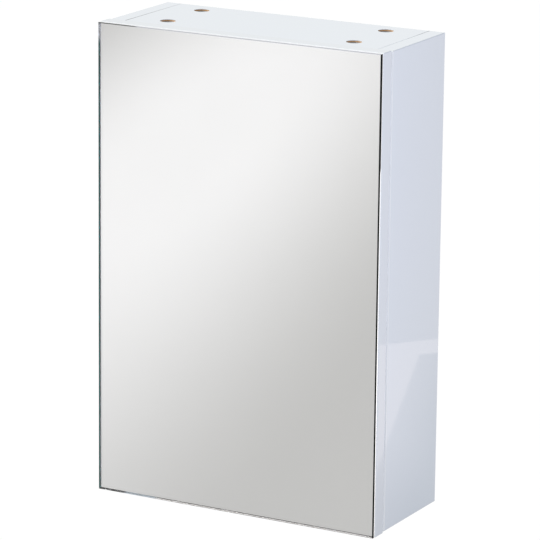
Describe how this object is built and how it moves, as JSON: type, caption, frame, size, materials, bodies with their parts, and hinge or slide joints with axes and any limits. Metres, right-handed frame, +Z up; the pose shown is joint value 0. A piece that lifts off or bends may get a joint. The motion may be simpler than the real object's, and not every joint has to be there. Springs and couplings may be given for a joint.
{
  "type": "mirror cabinet",
  "caption": "Shallow white wall cabinet with a full-width frameless mirror door on concealed cup hinges, shelves inside and keyhole hangers at the back.",
  "frame": {"origin": "on the rear plane, midway between the entry holes of the two keyhole hangers", "axes": "+X to the viewer's right, +Y to the wall, +Z up; the mirror faces -Y"},
  "size_m": [0.3, 0.13, 0.46],
  "materials": {
    "white_board": "white high-gloss foil on fibreboard",
    "back_board": "white-faced thin fibreboard",
    "mirror": "silvered float glass with a ground arris",
    "foam_tape": "white adhesive foam",
    "soft_strip": "soft white strip",
    "zinc": "die-cast zinc",
    "beech": "fluted beech",
    "zinc_plate": "zinc-plated sheet",
    "steel": "bright zinc-plated steel",
    "nickel": "nickel-plated"
  },
  "bodies": {
    "carcass": {"back_panel": "back_board", "bottom_cam_bolts": "steel", "bottom_cam_locks": "zinc", "bottom_panel": "white_board", "door_bumpers": "soft_strip", "hanger_screws": "steel", "left_hanger_plate": "zinc_plate", "left_side_panel": "white_board", "lower_hinge_arm": "nickel", "lower_hinge_arm_pins": "steel", "lower_hinge_arm_screws": "steel", "lower_hinge_plate": "nickel", "lower_hinge_plate_screws": "steel", "lower_shelf": "white_board", "lower_shelf_pins": "nickel", "right_hanger_plate": "zinc_plate", "right_side_panel": "white_board", "top_cam_bolts": "steel", "top_cam_locks": "zinc", "top_panel": "white_board", "upper_hinge_arm": "nickel", "upper_hinge_arm_pins": "steel", "upper_hinge_arm_screws": "steel", "upper_hinge_plate": "nickel", "upper_hinge_plate_screws": "steel", "upper_shelf": "white_board", "upper_shelf_pins": "nickel", "wooden_dowels": "beech"},
    "outer_links": {"lower_hinge_outer_link": "nickel", "upper_hinge_outer_link": "nickel"},
    "inner_links": {"lower_hinge_inner_link": "nickel", "upper_hinge_inner_link": "nickel"},
    "door": {"door_board": "white_board", "lower_hinge_cup": "nickel", "lower_hinge_cup_pins": "steel", "lower_hinge_cup_screws": "steel", "mirror_glass": "mirror", "mirror_tapes": "foam_tape", "upper_hinge_cup": "nickel", "upper_hinge_cup_pins": "steel", "upper_hinge_cup_screws": "steel"}
  },
  "joints": [
    {"name": "outer_link_pivot", "type": "hinge", "parent": "carcass", "child": "outer_links", "pos_m": [-0.114, -0.098, -0.189], "axis": [0, 0, -1], "range_deg": [-24.7, 0]},
    {"name": "door_hinge", "type": "hinge", "parent": "outer_links", "child": "door", "pos_m": [-0.141, -0.1121, -0.189], "axis": [0, 0, -1], "range_deg": [0, 119.7]},
    {"name": "inner_link_pivot", "type": "hinge", "parent": "carcass", "child": "inner_links", "pos_m": [-0.1256, -0.11659, -0.189], "axis": [0, 0, -1], "range_deg": [-42.75, 0]}
  ],
  "couplings": [
    {"joint": "outer_link_pivot", "follows": "door_hinge", "ratio": -0.20635},
    {"joint": "inner_link_pivot", "follows": "door_hinge", "ratio": -0.35714}
  ]
}
